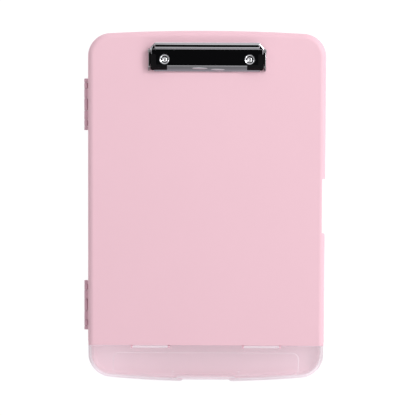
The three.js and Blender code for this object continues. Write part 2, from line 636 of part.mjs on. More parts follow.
function part(name, manifold, look) {
  const mesh = new THREE.Mesh(geometryOf(manifold), new THREE.MeshStandardMaterial(look));
  mesh.name = name;
  group.add(mesh);
}

part("back_shell", backShell(), PINK);
part("front_cover", frontCover(), PINK);
part("pen_lid", penLid(), CLEAR);

part("hinge_pin_upper", rodY(HINGES[0][0] + 0.4, HINGES[0][1] - 0.4, HINGE_X, HINGE_Z, HINGE_PIN_R, 12), STEEL);
part("hinge_pin_lower", rodY(HINGES[1][0] + 0.4, HINGES[1][1] - 0.4, HINGE_X, HINGE_Z, HINGE_PIN_R, 12), STEEL);

part("clip_base_plate", basePlate(), CHROME);
part("clip_jaw_plate", jawPlate(), CHROME);
part("clip_pivot_rod", pivotRod(), STEEL);
part("clip_spring_left", spring(-26, -1), STEEL);
part("clip_spring_right", spring(26, 1), STEEL);
part("clip_rivet_left", rivet(-RIVET_X), CHROME);
part("clip_rivet_right", rivet(RIVET_X), CHROME);
part("rivet_washer_left", washer(-RIVET_X), STEEL);
part("rivet_washer_right", washer(RIVET_X), STEEL);
part("jaw_grip_left", grip(-1), RUBBER);
part("jaw_grip_right", grip(1), RUBBER);

export default group;
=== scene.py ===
"""Looks for the storage clipboard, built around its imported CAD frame. Sizes here are in millimetres until a mesh is placed."""

import math

import bmesh
import bpy
from mathutils import Matrix, Vector


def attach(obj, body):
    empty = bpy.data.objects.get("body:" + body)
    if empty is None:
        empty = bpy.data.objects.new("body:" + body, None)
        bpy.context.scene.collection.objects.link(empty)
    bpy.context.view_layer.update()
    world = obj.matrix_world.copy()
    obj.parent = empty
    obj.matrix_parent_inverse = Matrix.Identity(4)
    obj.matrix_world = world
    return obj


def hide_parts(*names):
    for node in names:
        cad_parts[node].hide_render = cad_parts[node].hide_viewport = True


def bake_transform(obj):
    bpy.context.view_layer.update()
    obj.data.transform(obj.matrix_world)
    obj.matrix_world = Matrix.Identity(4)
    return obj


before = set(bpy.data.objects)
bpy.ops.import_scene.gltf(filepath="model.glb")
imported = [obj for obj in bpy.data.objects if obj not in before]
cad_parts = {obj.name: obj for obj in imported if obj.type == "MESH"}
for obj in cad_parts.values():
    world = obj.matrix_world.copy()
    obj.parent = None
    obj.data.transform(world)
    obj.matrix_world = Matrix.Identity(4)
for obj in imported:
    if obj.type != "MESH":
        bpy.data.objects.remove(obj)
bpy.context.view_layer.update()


scene = bpy.context.scene
PI = math.pi

# ------------------------------------------------------------------ dimensions
HALF_W, HALF_L = 118.0, 175.0
TOP_ARC_R, FOOT_ARC_R, TOP_CORNER_R, FOOT_CORNER_R = 1750.0, 1150.0, 23.0, 24.0
BASE_TOP, COVER_BOTTOM, COVER_TOP, LID_TOP, PANEL_TOP = 14.85, 15.15, 23.0, 22.0, 22.9
BASE_WALL, BASE_FLOOR, COVER_WALL, COVER_SKIN, LID_WALL = 2.5, 2.2, 1.9, 1.8, 1.8
EDGE_IN, EDGE_DOWN, BACK_IN, BACK_UP = 6.5, 6.0, 4.0, 4.0
COVER_END_Y, COVER_END_R, LID_START_Y, SKIRT_START_Y, DIVIDER_Y0, DIVIDER_Y1 = -137.5, 4.5, -137.85, -138.5, -139.5, -137.0
NOTCH_Y0, NOTCH_Y1, NOTCH_DEPTH, FOOT_NOTCH_HALF, FOOT_NOTCH_DEPTH = -25.6, 28.9, 3.5, 25.0, 2.7
HINGE_X, HINGE_Z, KNUCKLE_R, KNUCKLE_CLEAR_R, HINGE_BORE_R = -120.2, 15.0, 1.8, 2.1, 0.9
HINGES = ((76.4, 127.7), (-123.1, -73.3))
KNUCKLE_PARTS, KNUCKLE_GAP = (4, 6, 9, 12, 9, 6, 4), 0.3
LID_Y, LID_Z, BARREL_R, BARREL_X0, BARREL_X1, LUG_R, LUG_WIDTH, LUG_GAP, TRUNNION_R, TRUNNION_OUT, LUG_BORE_R = -139.2, 20.7, 1.35, 38.0, 73.0, 1.25, 1.4, 0.3, 0.65, 1.9, 0.8
RIVET_X, RIVET_Y, ACCESS_R, DISH_R, BOSS_TOP, PIVOT_Y, PIVOT_Z, ROD_R, ROD_BORE_R = 41.7, 145.5, 3.6, 5.0, 27.1, 153.6, 26.4, 1.2, 1.38
SHEET, JAW_FLAT_Z, JAW_FLAT_Y, LIP_SLOPE, LIP_BEND_R, LIP_FOOT_Z, JAW_HALF, JAW_WIDE = 0.9, 29.15, 139.8, 43.0, 1.0, 24.6, 52.0, 55.2
ROLL_Y, ROLL_Z, ROLL_R, PLATE_Z0, PLATE_Z1, GRIP_IN, GRIP_OUT, GRIP_TOP = 158.4, 29.9, 3.15, 23.15, 23.95, 50.3, 55.4, 30.4
EAR_IN, EAR_OUT, EAR_TIP, EAR_FRONT, ROD_END = 56.9, 57.8, 55.75, 134.6, 58.4
ROLL_END, BEAD_R = 51.2, 0.85
BEAD = ((50.6, 161.2, 30.1), (54.95, 156.0, 29.95), (54.9, 155.2, 29.6), (54.5, 154.2, 29.0))


# ---------------------------------------------------------------- mesh helpers
def obj_from(verts, faces, name="part"):
    me = bpy.data.meshes.new(name)
    me.from_pydata([tuple(v) for v in verts], [], faces)
    me.validate()
    ob = bpy.data.objects.new(name, me)
    scene.collection.objects.link(ob)
    bm = bmesh.new()
    bm.from_mesh(me)
    bmesh.ops.recalc_face_normals(bm, faces=bm.faces)
    bm.to_mesh(me)
    bm.free()
    return ob


def loft(rings):
    """Closed skin through rings of equal length, with a flat face at each end."""
    n = len(rings[0])
    verts = [p for ring in rings for p in ring]
    faces = [tuple(reversed(range(n)))]
    for i in range(len(rings) - 1):
        a, b = i * n, (i + 1) * n
        faces += [(a + j, a + (j + 1) % n, b + (j + 1) % n, b + j) for j in range(n)]
    faces.append(tuple(range((len(rings) - 1) * n, len(rings) * n)))
    return obj_from(verts, faces)


def plan(points, z0, z1):
    return loft([[(x, y, z0) for x, y in points], [(x, y, z1) for x, y in points]])


def along_x(points, x0, x1):
    return loft([[(x0, y, z) for y, z in points], [(x1, y, z) for y, z in points]])


def along_y(points, y0, y1):
    return loft([[(x, y0, z) for x, z in points], [(x, y1, z) for x, z in points]])


def box(x0, x1, y0, y1, z0, z1):
    return plan([(x0, y0), (x1, y0), (x1, y1), (x0, y1)], z0, z1)


def circle(cx, cy, r, n):
    return [(cx + r * math.cos(2 * PI * (i + 0.5) / n), cy + r * math.sin(2 * PI * (i + 0.5) / n)) for i in range(n)]


def rod_x(x0, x1, y, z, r, n=32):
    return along_x(circle(y, z, r, n), x0, x1)


def rod_y(y0, y1, x, z, r, n=32):
    return along_y(circle(x, z, r, n), y0, y1)


def rod_z(z0, z1, x, y, r, n=40):
    return plan(circle(x, y, r, n), z0, z1)


def arc_line(cx, cy, r, a0, a1, n):
    return [(cx + r * math.cos(math.radians(a0 + (a1 - a0) * i / n)), cy + r * math.sin(math.radians(a0 + (a1 - a0) * i / n))) for i in range(n + 1)]


def boolean(a, b, operation, keep=False):
    m = a.modifiers.new("cut", "BOOLEAN")
    m.operation = operation
    m.object = b
    m.solver = "MANIFOLD"
    dg = bpy.context.evaluated_depsgraph_get()
    me = bpy.data.meshes.new_from_object(a.evaluated_get(dg))
    a.modifiers.clear()
    old = a.data
    a.data = me
    bpy.data.meshes.remove(old)
    if not keep:
        bpy.data.objects.remove(b)
    return a


def cut(a, *bs):
    for b in bs:
        boolean(a, b, "DIFFERENCE")
    return a


def add(a, *bs):
    for b in bs:
        boolean(a, b, "UNION")
    return a


def common(a, *bs):
    for b in bs:
        boolean(a, b, "INTERSECT")
    return a


def outline(d, n_corner=22, n_end=28):
    """The case outline moved inwards by d, anticlockwise from the right foot corner."""
    pts = []

    def end(sign, big_r, corner_r):
        cx = HALF_W - corner_r
        big_y = sign * (HALF_L - big_r)
        cy = big_y + sign * math.sqrt((big_r - corner_r) ** 2 - cx * cx)
        return cx, cy, big_y, math.atan2(cx, abs(cy - big_y)), corner_r - d, big_r - d

    def corner(cx, cy, r, a0, a1):
        for i in range(n_corner + 1):
            a = a0 + (a1 - a0) * i / n_corner
            pts.append((cx + r * math.cos(a), cy + r * math.sin(a)))

    def arc(cy, r, a0, a1):
        for i in range(1, n_end):
            a = a0 + (a1 - a0) * i / n_end
            pts.append((r * math.cos(a), cy + r * math.sin(a)))

    q = PI / 2
    tx, ty, tb, tt, tr, tR = end(1, TOP_ARC_R, TOP_CORNER_R)
    fx, fy, fb, ft, fr, fR = end(-1, FOOT_ARC_R, FOOT_CORNER_R)
    corner(fx, fy, fr, -q + ft, 0)
    corner(tx, ty, tr, 0, q - tt)
    arc(tb, tR, q - tt, q + tt)
    corner(-tx, ty, tr, q + tt, 2 * q)
    corner(-fx, fy, fr, 2 * q, 3 * q - ft)
    arc(fb, fR, 3 * q - ft, 3 * q + ft)
    return pts


def pebble(d, z0, z1, lower, upper, n=10):
    """The outline between two heights; lower and upper are each edge's rounding as (across, high)."""
    rings = []
    if lower:
        across, high = lower
        for i in range(n + 1):
            a = PI / 2 * i / n
            rings.append([(x, y, z0 + high * (1 - math.cos(a))) for x, y in outline(d + across * (1 - math.sin(a)))])
    else:
        rings.append([(x, y, z0) for x, y in outline(d)])
    if upper:
        across, high = upper
        for i in range(n + 1):
            a = PI / 2 * i / n
            rings.append([(x, y, z1 - high * (1 - math.sin(a))) for x, y in outline(d + across * (1 - math.cos(a)))])
    else:
        rings.append([(x, y, z1) for x, y in outline(d)])
    return loft(rings)


def rounded_box(x0, x1, y0, y1, r, n=10):
    pts = []
    for cx, cy, a in ((x1 - r, y0 + r, -0.5), (x1 - r, y1 - r, 0), (x0 + r, y1 - r, 0.5), (x0 + r, y0 + r, 1)):
        for i in range(n + 1):
            t = PI * (a + 0.5 * i / n)
            pts.append((cx + r * math.cos(t), cy + r * math.sin(t)))
    return pts


def rounded_poly(points, radii, n=6):
    """A polygon with its corners rounded; radii is one number or one for each corner."""
    out = []
    k = len(points)
    if not isinstance(radii, (list, tuple)):
        radii = [radii] * k
    for i in range(k):
        p0, p, p1 = Vector(points[i - 1]), Vector(points[i]), Vector(points[(i + 1) % k])
        r = radii[i]
        u, v = (p0 - p).normalized(), (p1 - p).normalized()
        ang = u.angle(v)
        if r <= 0 or ang > PI - 0.02:
            out.append((p.x, p.y))
            continue
        t = min(r / math.tan(ang / 2), 0.49 * (p0 - p).length, 0.49 * (p1 - p).length)
        r = t * math.tan(ang / 2)
        c = p + (u + v).normalized() * (r / math.sin(ang / 2))
        a = p + u * t - c
        b = p + v * t - c
        turn = math.atan2(a.x * b.y - a.y * b.x, a.dot(b))
        for j in range(n + 1):
            s = turn * j / n
            out.append((c.x + a.x * math.cos(s) - a.y * math.sin(s), c.y + a.x * math.sin(s) + a.y * math.cos(s)))
    return out


def sheet_section(line, thickness):
    left, right = [], []
    for i, p in enumerate(line):
        a, b = Vector(line[max(0, i - 1)]), Vector(line[min(len(line) - 1, i + 1)])
        t = (b - a).normalized()
        n = Vector((-t.y, t.x)) * (thickness / 2)
        left.append((p[0] + n.x, p[1] + n.y))
        right.append((p[0] - n.x, p[1] - n.y))
    return left + right[::-1]


def lathe(profile, n=48, axis="Z", at=(0, 0, 0)):
    """A closed profile of (radius, height) turned about an axis."""
    verts, faces, k = [], [], len(profile)
    for i in range(n):
        a = 2 * PI * i / n
        for r, h in profile:
            verts.append((r * math.cos(a), r * math.sin(a), h))
    for i in range(n):
        j = (i + 1) % n
        for m in range(k):
            q = (m + 1) % k
            faces.append((i * k + m, j * k + m, j * k + q, i * k + q))
    if axis == "X":
        verts = [(h, x, y) for x, y, h in verts]
    elif axis == "Y":
        verts = [(y, h, x) for x, y, h in verts]
    verts = [(x + at[0], y + at[1], z + at[2]) for x, y, z in verts]
    ob = obj_from(verts, faces)
    bm = bmesh.new()
    bm.from_mesh(ob.data)
    bmesh.ops.remove_doubles(bm, verts=bm.verts, dist=1e-5)
    bmesh.ops.dissolve_degenerate(bm, edges=bm.edges, dist=1e-5)
    bmesh.ops.recalc_face_normals(bm, faces=bm.faces)
    bm.to_mesh(ob.data)
    bm.free()
    return ob


def smooth_path(points, steps):
    """Points along a Catmull-Rom curve through the given ones."""
    p = [Vector(q) for q in points]
    p = [p[0] * 2 - p[1]] + p + [p[-1] * 2 - p[-2]]
    out = []
    for i in range(1, len(p) - 2):
        for k in range(steps):
            t = k / steps
            out.append(0.5 * (2 * p[i] + (p[i + 1] - p[i - 1]) * t + (2 * p[i - 1] - 5 * p[i] + 4 * p[i + 1] - p[i + 2]) * t * t
                              + (3 * p[i] - p[i - 1] - 3 * p[i + 1] + p[i + 2]) * t ** 3))
    return out + [p[-2]]


def tube(path, r, n=12):
    """A round wire along a list of points, with closed ends."""
    pts = [Vector(p) for p in path]
    rings = []
    t0 = (pts[1] - pts[0]).normalized()
    side = t0.orthogonal().normalized()
    for i, p in enumerate(pts):
        t = (pts[min(i + 1, len(pts) - 1)] - pts[max(i - 1, 0)]).normalized()
        side = (side - t * side.dot(t)).normalized()
        up = t.cross(side)
        scale = 0.72 if i in (0, len(pts) - 1) else 1
        rings.append([p + (side * math.cos(2 * PI * j / n) + up * math.sin(2 * PI * j / n)) * r * scale for j in range(n)])
    return loft(rings)


def soften(ob, width, segments=2, angle=35):
    """A small moulded or deburred radius on the sharp edges."""
    m = ob.modifiers.new("edge", "BEVEL")
    m.width = width
    m.segments = segments
    m.limit_method = "ANGLE"
    m.angle_limit = math.radians(angle)
    m.use_clamp_overlap = True
    m.harden_normals = False
    dg = bpy.context.evaluated_depsgraph_get()
    me = bpy.data.meshes.new_from_object(ob.evaluated_get(dg))
    ob.modifiers.clear()
    old = ob.data
    ob.data = me
    bpy.data.meshes.remove(old)
    return ob


def place(ob, name, body, material, stands_for, smooth=30):
    ob.name = name
    ob.data.name = name
    ob.data.transform(Matrix.Scale(0.001, 4))
    for p in ob.data.polygons:
        p.use_smooth = True
    ob.data.set_sharp_from_angle(angle=math.radians(smooth))
    m = ob.modifiers.new("flats", "WEIGHTED_NORMAL")
    m.keep_sharp = True
    m.weight = 60
    dg = bpy.context.evaluated_depsgraph_get()
    me = bpy.data.meshes.new_from_object(ob.evaluated_get(dg))
    ob.modifiers.clear()
    old = ob.data
    ob.data = me
    bpy.data.meshes.remove(old)
    ob.data.materials.clear()
    ob.data.materials.append(material)
    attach(ob, body)
    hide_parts(*stands_for)
    return ob


# ------------------------------------------------------------------- materials
def new_material(name):
    mat = bpy.data.materials.new(name)
    mat.use_nodes = True
    nt = mat.node_tree
    return mat, nt, nt.nodes["Principled BSDF"]


def noise(nt, coord, scale, detail=3.0, rough=0.5, stretch=None):
    src = coord
    if stretch:
        mp = nt.nodes.new("ShaderNodeMapping")
        mp.inputs["Scale"].default_value = stretch
        nt.links.new(coord, mp.inputs["Vector"])
        src = mp.outputs["Vector"]
    n = nt.nodes.new("ShaderNodeTexNoise")
    n.inputs["Scale"].default_value = scale
    n.inputs["Detail"].default_value = detail
    n.inputs["Roughness"].default_value = rough
    nt.links.new(src, n.inputs["Vector"])
    return n.outputs["Fac"]


def ramp(nt, fac, a, b, lo=0.3, hi=0.7):
    r = nt.nodes.new("ShaderNodeMapRange")
    r.inputs["From Min"].default_value = lo
    r.inputs["From Max"].default_value = hi
    r.inputs["To Min"].default_value = a
    r.inputs["To Max"].default_value = b
    nt.links.new(fac, r.inputs["Value"])
    return r.outputs["Result"]


def two_tone(nt, fac, a, b):
    m = nt.nodes.new("ShaderNodeMix")
    m.data_type = "RGBA"
    m.inputs["A"].default_value = (*a, 1)
    m.inputs["B"].default_value = (*b, 1)
    nt.links.new(fac, m.inputs["Factor"])
    return m.outputs["Result"]


def bump(nt, bsdf, height, strength, distance, chain=None):
    b = nt.nodes.new("ShaderNodeBump")
    b.inputs["Strength"].default_value = strength
    b.inputs["Distance"].default_value = distance
    nt.links.new(height, b.inputs["Height"])
    if chain:
        nt.links.new(chain, b.inputs["Normal"])
    nt.links.new(b.outputs["Normal"], bsdf.inputs["Normal"])
    return b.outputs["Normal"]


def coords(nt):
    return nt.nodes.new("ShaderNodeTexCoord").outputs["Object"]


def pink_plastic(name, tone):
    mat, nt, b = new_material(name)
    c = coords(nt)
    cloud = noise(nt, c, 14, 4, 0.55)
    speck = noise(nt, c, 900, 2, 0.6)
    lo = tuple(v * 0.985 for v in tone)
    hi = tuple(min(1, v * 1.015) for v in tone)
    # painted shade: the hinge knuckles are painted a darker pink for the shadow they sit in below the case edge,
    # varied by a streaky noise
    sep = nt.nodes.new("ShaderNodeSeparateXYZ")
    nt.links.new(c, sep.inputs["Vector"])
    knuckle = ramp(nt, sep.outputs["X"], 1.0, 0.0, -0.1187, -0.1182)
    knuckle_painted_shade = nt.nodes.new("ShaderNodeMath")
    knuckle_painted_shade.operation = "MULTIPLY"
    nt.links.new(knuckle, knuckle_painted_shade.inputs[0])
    nt.links.new(ramp(nt, noise(nt, c, 110, 3, 0.5, (0.2, 1, 0.2)), 0.75, 1.0), knuckle_painted_shade.inputs[1])
    tint = nt.nodes.new("ShaderNodeMix")
    tint.data_type = "RGBA"
    nt.links.new(knuckle_painted_shade.outputs["Value"], tint.inputs["Factor"])
    nt.links.new(two_tone(nt, cloud, lo, hi), tint.inputs["A"])
    # the darker colour of the painted knuckle shade
    tint.inputs["B"].default_value = (tone[0] * 0.70, tone[1] * 0.66, tone[2] * 0.70, 1)
    nt.links.new(tint.outputs["Result"], b.inputs["Base Color"])
    nt.links.new(ramp(nt, speck, 0.40, 0.52), b.inputs["Roughness"])
    b.inputs["Specular IOR Level"].default_value = 0.36
    b.inputs["IOR"].default_value = 1.49
    b.inputs["Subsurface Weight"].default_value = 0.0
    fine = bump(nt, b, speck, 0.10, 0.0002)
    bump(nt, b, noise(nt, c, 55, 2, 0.5), 0.04, 0.0006, fine)
    return mat


def across(nt, coord, stops):
    """A value set by the distance from the middle line, from (metres, value) stops."""
    sep = nt.nodes.new("ShaderNodeSeparateXYZ")
    nt.links.new(coord, sep.inputs["Vector"])
    side = nt.nodes.new("ShaderNodeMath")
    side.operation = "ABSOLUTE"
    nt.links.new(sep.outputs["X"], side.inputs[0])
    part = ramp(nt, side.outputs["Value"], 0.0, 1.0, 0.0, 0.12)
    cr = nt.nodes.new("ShaderNodeValToRGB")
    e = cr.color_ramp.elements
    e[0].position, e[0].color = stops[0][0] / 0.12, (stops[0][1],) * 3 + (1,)
    e[1].position, e[1].color = stops[-1][0] / 0.12, (stops[-1][1],) * 3 + (1,)
    for x, v in stops[1:-1]:
        e.new(x / 0.12).color = (v, v, v, 1)
    nt.links.new(part, cr.inputs["Fac"])
    return cr.outputs["Color"]


def clear_plastic(name, tone, thin, thick, painted_glow):
    """Clear polypropylene: see-through face on, milky where the wall is seen at a slant, with a painted glow of
    emitted light.
    """
    mat, nt, b = new_material(name)
    c = coords(nt)
    milk = noise(nt, c, 40, 3, 0.5)
    nt.links.new(two_tone(nt, milk, tuple(v * 0.97 for v in tone), tone), b.inputs["Base Color"])
    nt.links.new(ramp(nt, milk, 0.14, 0.22), b.inputs["Roughness"])
    b.inputs["IOR"].default_value = 1.49
    b.inputs["Specular IOR Level"].default_value = 0.5
    # painted light: the colour of the lid's emitted glow
    b.inputs["Emission Color"].default_value = (0.93, 0.90, 0.97, 1)
    # painted light: an emission glow lightens the lid, more strongly towards its ends, where the walls shade the
    # compartment beneath
    nt.links.new(across(nt, c, ((0.03, painted_glow), (0.075, painted_glow * 1.12), (0.100, painted_glow * 1.38), (0.111, painted_glow * 1.38), (0.1165, painted_glow * 0.82))), b.inputs["Emission Strength"])
    lw = nt.nodes.new("ShaderNodeLayerWeight")
    lw.inputs["Blend"].default_value = 0.5
    power = nt.nodes.new("ShaderNodeMath")
    power.operation = "POWER"
    nt.links.new(lw.outputs["Facing"], power.inputs[0])
    power.inputs[1].default_value = 1.3
    # light that passes through is scattered forwards, so the wall shades what lies behind it less than it hides it
    path = nt.nodes.new("ShaderNodeLightPath")
    scale = nt.nodes.new("ShaderNodeMath")
    scale.operation = "MULTIPLY"
    nt.links.new(ramp(nt, power.outputs["Value"], thin, thick, 0.0, 0.75), scale.inputs[0])
    nt.links.new(ramp(nt, path.outputs["Is Shadow Ray"], 1.0, 0.45, 0.0, 1.0), scale.inputs[1])
    nt.links.new(scale.outputs["Value"], b.inputs["Alpha"])
    bump(nt, b, milk, 0.03, 0.0004)
    return mat


def chrome(name, tone, rough):
    mat, nt, b = new_material(name)
    c = coords(nt)
    haze = noise(nt, c, 120, 4, 0.6)
    grain = noise(nt, c, 260, 3, 0.5, (0.06, 1, 1))
    nt.links.new(two_tone(nt, haze, tuple(v * 0.97 for v in tone), tuple(min(1, v * 1.03) for v in tone)), b.inputs["Base Color"])
    b.inputs["Metallic"].default_value = 1.0
    nt.links.new(ramp(nt, grain, rough * 0.75, rough * 1.35), b.inputs["Roughness"])
    bump(nt, b, noise(nt, c, 45, 2, 0.5), 0.02, 0.0005)
    return mat


def steel(name, tone, rough, stretch):
    mat, nt, b = new_material(name)
    c = coords(nt)
    grain = noise(nt, c, 420, 4, 0.6, stretch)
    nt.links.new(two_tone(nt, grain, tuple(v * 0.85 for v in tone), tuple(min(1, v * 1.12) for v in tone)), b.inputs["Base Color"])
    b.inputs["Metallic"].default_value = 1.0
    nt.links.new(ramp(nt, grain, rough * 0.8, rough * 1.25), b.inputs["Roughness"])
    bump(nt, b, grain, 0.12, 0.0002)
    return mat


def rubber(name):
    mat, nt, b = new_material(name)
    c = coords(nt)
    grain = noise(nt, c, 700, 3, 0.6)
    nt.links.new(two_tone(nt, grain, (0.003, 0.0028, 0.0032), (0.007, 0.0062, 0.0072)), b.inputs["Base Color"])
    nt.links.new(ramp(nt, grain, 0.55, 0.75), b.inputs["Roughness"])
    b.inputs["Specular IOR Level"].default_value = 0.07
    bump(nt, b, grain, 0.25, 0.0003)
    return mat


PINK = (0.865, 0.560, 0.640)
m_cover = pink_plastic("cover_plastic", PINK)
m_case = pink_plastic("case_plastic", PINK)
m_clear = clear_plastic("clear_plastic", (0.47, 0.450, 0.462), 0.225, 0.95, 0.400)
m_thick = clear_plastic("clear_plastic_thick", (0.62, 0.60, 0.61), 0.42, 0.85, 0.36)
m_chrome = chrome("clip_chrome", (0.65, 0.645, 0.675), 0.06)
m_plate = chrome("base_chrome", (0.50, 0.50, 0.51), 0.12)
m_nickel = chrome("rivet_nickel", (0.86, 0.86, 0.87), 0.17)
m_pin = steel("pin_steel", (0.55, 0.55, 0.56), 0.32, (1, 0.05, 1))
m_pin_x = steel("rod_steel", (0.60, 0.60, 0.61), 0.26, (0.05, 1, 1))
m_spring = steel("spring_steel", (0.40, 0.40, 0.41), 0.30, (1, 1, 1))
m_rubber = rubber("grip_rubber")


# --------------------------------------------------------------------- cutters
def notch_cutter(z0, z1):
    x = HALF_W - NOTCH_DEPTH
    pts = rounded_poly([
        (HALF_W + 4, NOTCH_Y0 - 1.6), (HALF_W + 4, NOTCH_Y1), (x, NOTCH_Y1), (x, NOTCH_Y0),
        (HALF_W, NOTCH_Y0 - 0.6)], [0, 0, 0.8, 2.2, 0.8])
    return plan(pts, z0, z1)


def foot_notch_cutter(z0, z1):
    y = -HALF_L + FOOT_NOTCH_DEPTH
    pts = rounded_poly([
        (-FOOT_NOTCH_HALF - 3, -HALF_L - 2), (FOOT_NOTCH_HALF + 3, -HALF_L - 2),
        (FOOT_NOTCH_HALF - 2, y), (-FOOT_NOTCH_HALF + 2, y)], [0, 0, 1.6, 1.6])
    return plan(pts, z0, z1)


def knuckle_spans(hinge):
    y0, y1 = hinge
    total, y, out = sum(KNUCKLE_PARTS), y1, []
    for part in KNUCKLE_PARTS:
        nxt = y - (y1 - y0) * part / total
        out.append((nxt, y))
        y = nxt
    return out


def add_knuckles(leaf, parity, web):
    for hinge in HINGES:
        spans = knuckle_spans(hinge)
        for i, (a, b) in enumerate(spans):
            if i % 2 != parity:
                cut(leaf, rod_y(a - KNUCKLE_GAP / 2, b + KNUCKLE_GAP / 2, HINGE_X, HINGE_Z, KNUCKLE_CLEAR_R, 48))
        for i, (a, b) in enumerate(spans):
            if i % 2 == parity:
                lo, hi = a + KNUCKLE_GAP / 2, b - KNUCKLE_GAP / 2
                barrel = barrel_y(lo, hi, HINGE_X, HINGE_Z, KNUCKLE_R, 0.3)
                add(leaf, barrel, along_y(web, lo + 0.1, hi - 0.1))
        cut(leaf, rod_y(hinge[0] - 1, hinge[1] + 1, HINGE_X, HINGE_Z, HINGE_BORE_R, 32))
    return leaf


def barrel_y(y0, y1, x, z, r, ease, n=48):
    rings = []
    for y, rr in ((y0, r - ease), (y0 + 0.3 * ease, r - 0.3 * ease), (y0 + ease, r), (y1 - ease, r), (y1 - 0.3 * ease, r - 0.3 * ease), (y1, r - ease)):
        rings.append([(a, y, b) for a, b in circle(x, z, rr, n)])
    return loft(rings)


def barrel_x(x0, x1, y, z, r, ease, n=40):
    rings = []
    for x, rr in ((x0, r - ease), (x0 + 0.3 * ease, r - 0.3 * ease), (x0 + ease, r), (x1 - ease, r), (x1 - 0.3 * ease, r - 0.3 * ease), (x1, r - ease)):
        rings.append([(x, a, b) for a, b in circle(y, z, rr, n)])
    return loft(rings)


# ----------------------------------------------------------------- back shell
def make_back_shell():
    s = pebble(0, 0, BASE_TOP, (BACK_IN, BACK_UP), None)
    hollow = pebble(BASE_WALL, BASE_FLOOR, 40, (3, 3), None)
    paper = cut(hollow, box(-130, 130, -190, DIVIDER_Y1, -1, 45),
                box(HALF_W - NOTCH_DEPTH - 2.4, 130, NOTCH_Y0 - 4, NOTCH_Y1 + 3, -1, 45),
                *[box(-130, -112.8, a - 2, b + 2, 7, 45) for a, b in HINGES])
    cut(s, paper)
    pens = pebble(BASE_WALL, BASE_FLOOR, 40, (3, 3), None)
    cut(pens, box(-130, 130, DIVIDER_Y0, 190, -1, 45),
        box(-FOOT_NOTCH_HALF - 4, FOOT_NOTCH_HALF + 4, -180, -HALF_L + FOOT_NOTCH_DEPTH + 2.2, -1, 45))
    cut(s, pens, notch_cutter(-5, 40), foot_notch_cutter(-5, 40))

    for side in (-1, 1):
        for a in (BARREL_X0 - LUG_GAP - LUG_WIDTH, BARREL_X1 + LUG_GAP):
            x0 = -a - LUG_WIDTH if side < 0 else a
            lug = arc_line(LID_Y, LID_Z, LUG_R, 0, 180, 24)
            piece = along_x([(LID_Y - LUG_R, 11), (-138.4, 9), (LID_Y + LUG_R, 11)] + lug, x0, x0 + LUG_WIDTH)
            cut(piece, rod_x(x0 - 0.1, x0 + LUG_WIDTH + 0.1, LID_Y, LID_Z, LUG_BORE_R, 32))
            add(s, soften(piece, 0.12, 2, 40))
    add_knuckles(s, 1, [(-121.1, 13.8), (-117.5, 10.2), (-115, 10.2), (-115, BASE_TOP), (-120.2, BASE_TOP)])
    return s


def make_cover():
    s = pebble(0, COVER_BOTTOM, COVER_TOP, None, (EDGE_IN, EDGE_DOWN), 14)
    common(s, plan(rounded_box(-HALF_W - 4, HALF_W + 4, COVER_END_Y, 190, 0.5, 2), -1, 60))
    common(s, plan(rounded_box(-HALF_W, HALF_W, COVER_END_Y, 190, COVER_END_R, 12), -1, 60))
    hollow = pebble(COVER_WALL, -12, COVER_TOP - COVER_SKIN, None, (EDGE_IN - 1.4, EDGE_DOWN - 1.4), 10)
    common(hollow, plan(rounded_box(-HALF_W + COVER_WALL, HALF_W - COVER_WALL, COVER_END_Y + COVER_WALL, 190, 3), -20, 60))
    cut(hollow, box(HALF_W - NOTCH_DEPTH - 2.2, 130, NOTCH_Y0 - 3.6, NOTCH_Y1 + 2.4, -20, 60),
        *[box(-130, -112.8, a - 2, b + 2, -20, 60) for a, b in HINGES])
    e = 0.8
    eased = [(COVER_END_Y - 0.5, COVER_TOP - e)] + arc_line(COVER_END_Y + e, COVER_TOP - e, e, 180, 90, 8) + [(COVER_END_Y + e, 24), (COVER_END_Y - 0.5, 24)]
    cut(s, hollow, notch_cutter(-5, 40), along_x(eased, -130, 130))
    cut(s, *[rod_z(10, 30, x, RIVET_Y, 2.1, 32) for x in (-RIVET_X, RIVET_X)])
    add_knuckles(s, 0, [(-120.6, 16.3), (-120.2, COVER_BOTTOM), (-115, COVER_BOTTOM), (-115, 18.4), (-117.6, 16.9)])
    return s


